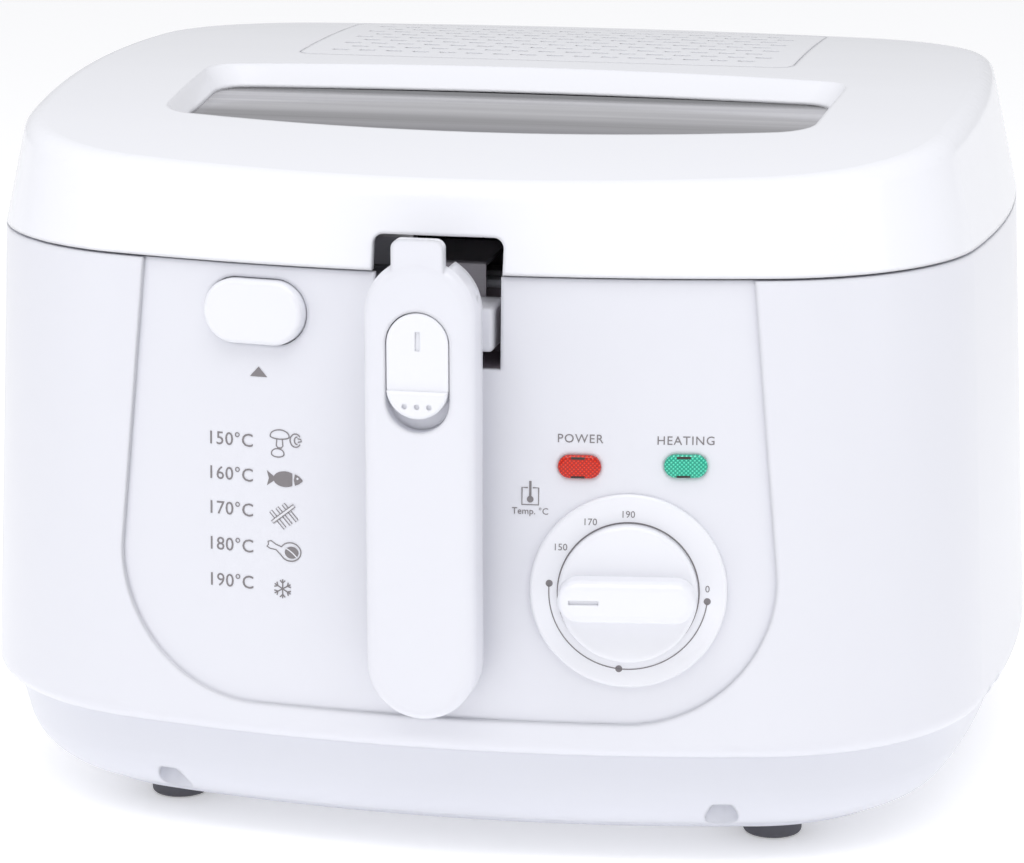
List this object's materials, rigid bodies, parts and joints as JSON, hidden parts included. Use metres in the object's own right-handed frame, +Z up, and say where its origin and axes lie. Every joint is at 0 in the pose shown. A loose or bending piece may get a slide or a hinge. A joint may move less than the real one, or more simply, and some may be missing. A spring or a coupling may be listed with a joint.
{
  "type": "deep fryer",
  "caption": "Closed-lid electric deep fryer with viewing window, carbon filter, basket with fold-down handle and thermostat knob.",
  "frame": {"origin": "middle of the whole footprint, on the worktop", "axes": "+Z up, the control panel and handle face -Y, +X to the right seen from the front"},
  "size_m": [0.3578, 0.3404, 0.245],
  "materials": {
    "white_shell": "satin gloss, moulded",
    "white_lid": "satin gloss, moulded",
    "white_handle": "satin gloss, moulded",
    "white_control": "satin gloss, moulded",
    "grey_plastic": "fine matt",
    "dark_plastic": "fine matt",
    "dark_rubber": "matt",
    "silicone": "matt, soft",
    "wire_cover": "matt",
    "pan_aluminium": "satin, coated inside",
    "sheet_aluminium": "plain rolled",
    "steel": "brushed",
    "element_steel": "heat darkened",
    "wire_chrome": "bright plated wire",
    "brass": "plain",
    "smoked_glass": "smoked, smooth",
    "red_lens": "clear tinted, gloss",
    "green_lens": "clear tinted, gloss",
    "clear_glass": "small lamp",
    "filter_felt": "felt",
    "carbon_felt": "felt with carbon"
  },
  "bodies": {
    "housing": {"housing": "white_shell", "base": "white_shell", "base_screws": "steel", "slot_liner": "dark_plastic", "cord_gland": "dark_rubber", "inner_pot": "pan_aluminium", "pot_gasket": "silicone", "heating_element": "element_steel", "element_clamps": "steel", "heat_shield": "sheet_aluminium", "thermostat_body": "dark_plastic", "thermostat_nut": "brass", "sensor_bulb": "brass", "safety_cutout": "sheet_aluminium", "terminal_block": "dark_plastic", "internal_leads": "wire_cover", "dial_ring": "white_control", "power_lens": "red_lens", "heating_lens": "green_lens", "power_neon": "clear_glass", "heating_neon": "clear_glass", "release_spring": "steel", "latch_pin": "steel", "latch_bracket": "steel", "hinge_pin": "steel", "foot_front_left": "dark_rubber", "foot_front_right": "dark_rubber", "foot_rear_left": "dark_rubber", "foot_rear_right": "dark_rubber"},
    "knob": {"knob": "white_control", "thermostat_shaft": "steel"},
    "release_button": {"release_button": "white_control"},
    "latch": {"latch_lever": "grey_plastic"},
    "lid": {"lid_shell": "white_lid", "window_pane": "smoked_glass", "window_gasket": "dark_rubber", "inner_lid": "steel", "inner_lid_screws": "steel", "lid_seal": "silicone", "lid_catch": "grey_plastic", "filter_tray": "grey_plastic", "grease_filter": "filter_felt", "charcoal_filter": "carbon_felt"},
    "filter_cover": {"filter_cover": "white_lid"},
    "basket": {"basket_mesh": "wire_chrome", "basket_rim": "wire_chrome", "basket_bracket": "steel", "bracket_rivets": "steel", "hinge_block": "white_handle"},
    "handle": {"handle_front": "white_handle", "handle_back": "white_handle", "handle_screws": "steel", "handle_pin": "steel", "lock_spring": "steel"},
    "slide": {"slide_button": "white_handle", "lock_bolt": "steel"}
  },
  "joints": [
    {"name": "lid_hinge", "type": "hinge", "parent": "housing", "child": "lid", "pos_m": [0, 0.1642, 0.197], "axis": [-1, 0, 0], "range_deg": [0, 85]},
    {"name": "filter_cover_hinge", "type": "hinge", "parent": "lid", "child": "filter_cover", "pos_m": [0, 0.1306, 0.243], "axis": [-1, 0, 0], "range_deg": [0, 95]},
    {"name": "basket_lift", "type": "slide", "parent": "housing", "child": "basket", "axis": [0, 0, 1], "range_m": [0, 0.006]},
    {"name": "handle_fold", "type": "hinge", "parent": "basket", "child": "handle", "pos_m": [0.0027, -0.1588, 0.196], "axis": [-1, 0, 0], "range_deg": [0, 90]},
    {"name": "handle_slide", "type": "slide", "parent": "handle", "child": "slide", "axis": [0, 0, -1], "range_m": [0, 0.0045], "stiffness_N_per_m": 300, "springref_m": -0.004, "deforming": ["lock_spring"]},
    {"name": "release_button_press", "type": "slide", "parent": "housing", "child": "release_button", "axis": [0.1277, 0.9908, -0.0455], "range_m": [0, 0.0035], "stiffness_N_per_m": 500, "springref_m": -0.003, "deforming": ["release_spring"]},
    {"name": "latch_pivot", "type": "hinge", "parent": "housing", "child": "latch", "pos_m": [-0.0577, -0.1183, 0.16], "axis": [-1, 0, 0], "range_deg": [0, 10.9]},
    {"name": "knob_turn", "type": "hinge", "parent": "housing", "child": "knob", "pos_m": [0.0655, -0.14016, 0.0986], "axis": [-0.1413, 0.9889, -0.0455], "range_deg": [-178, 92]}
  ],
  "couplings": [
    {"joint": "latch_pivot", "follows": "release_button_press", "rad_per_m": 54}
  ]
}
